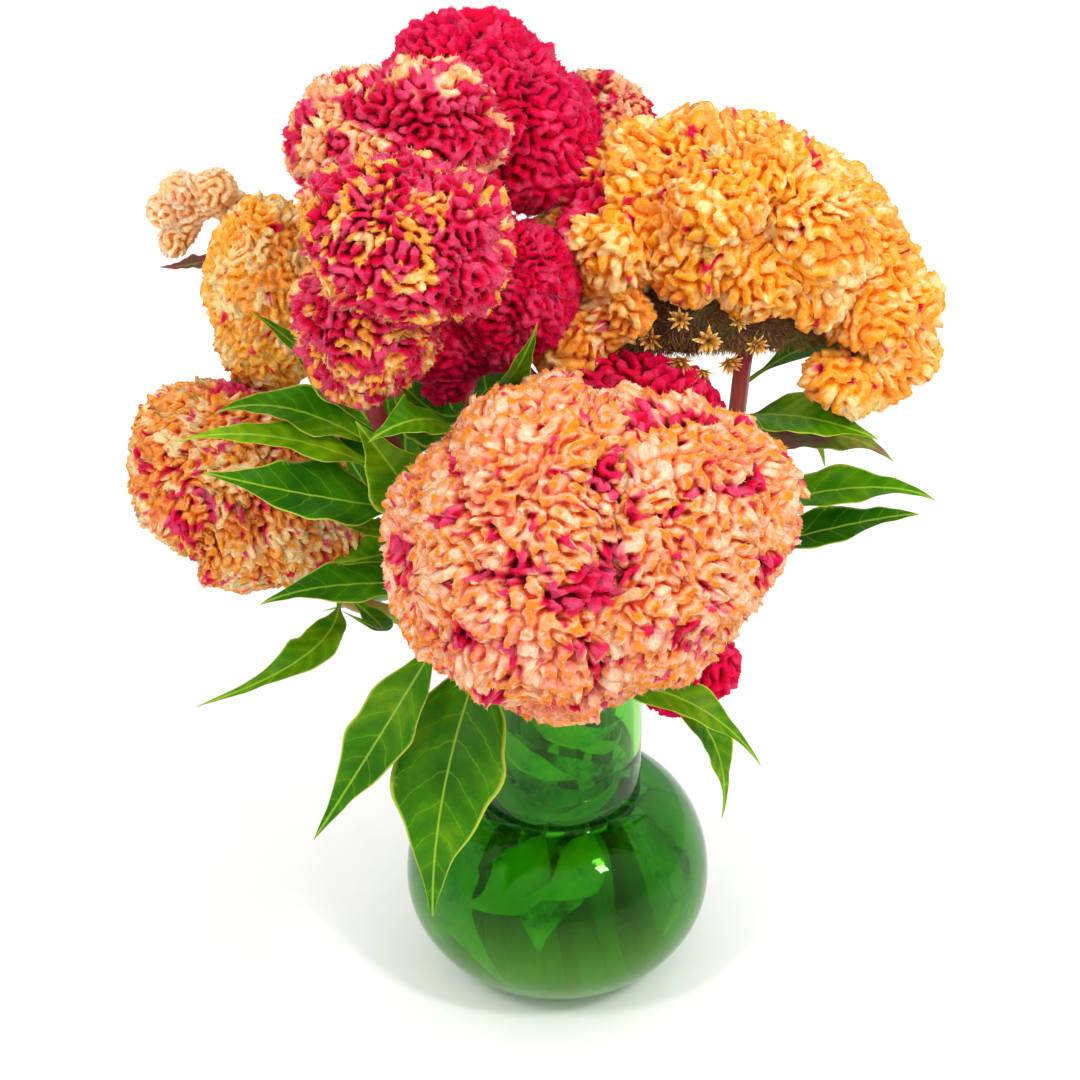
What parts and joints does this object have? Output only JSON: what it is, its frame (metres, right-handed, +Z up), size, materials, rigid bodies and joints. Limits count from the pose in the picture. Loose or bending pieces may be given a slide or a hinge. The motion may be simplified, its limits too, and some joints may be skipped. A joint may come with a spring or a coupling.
{
  "type": "cockscomb celosia bouquet in a glass vase",
  "caption": "Bouquet of cut cockscomb celosia with ruffled crested heads and long pointed leaves, standing in water in a round-bellied green glass vase.",
  "frame": {"origin": "centre of the vase's foot, on the surface that it stands on", "axes": "+Z up along the vase's neck, -Y towards the front, where the largest head hangs over the rim, +X to the right"},
  "size_m": [0.3862, 0.3293, 0.4895],
  "materials": {
    "green_glass": "clear, polished, tinted green",
    "water": "clear liquid",
    "leaf": "leaf, satin, pale veins",
    "peach_crest": "velvety, ruffled",
    "crimson_crest": "velvety, ruffled",
    "pink_orange_crest": "velvety, ruffled",
    "crimson_orange_crest": "velvety, ruffled",
    "yellow_orange_crest": "velvety, ruffled",
    "pale_orange_crest": "velvety, ruffled",
    "olive_underside": "bristly"
  },
  "bodies": {
    "root": {"vase": "green_glass", "water": "water", "stem_front": "leaf", "stem_inner": "leaf", "stem_right": "leaf", "stem_back": "leaf", "stem_top": "leaf", "stem_left_high": "leaf", "stem_left_low": "leaf", "stem_middle": "leaf", "head_front": "peach_crest", "head_middle": "crimson_orange_crest", "head_right": "yellow_orange_crest", "head_right_underside": "olive_underside", "head_top": "crimson_crest", "head_top_lobe": "pink_orange_crest", "head_deep": "crimson_crest", "head_left_high": "yellow_orange_crest", "head_left_low": "peach_crest", "head_pale": "pale_orange_crest", "head_inner": "crimson_crest", "head_back": "pink_orange_crest"}
  },
  "joints": []
}
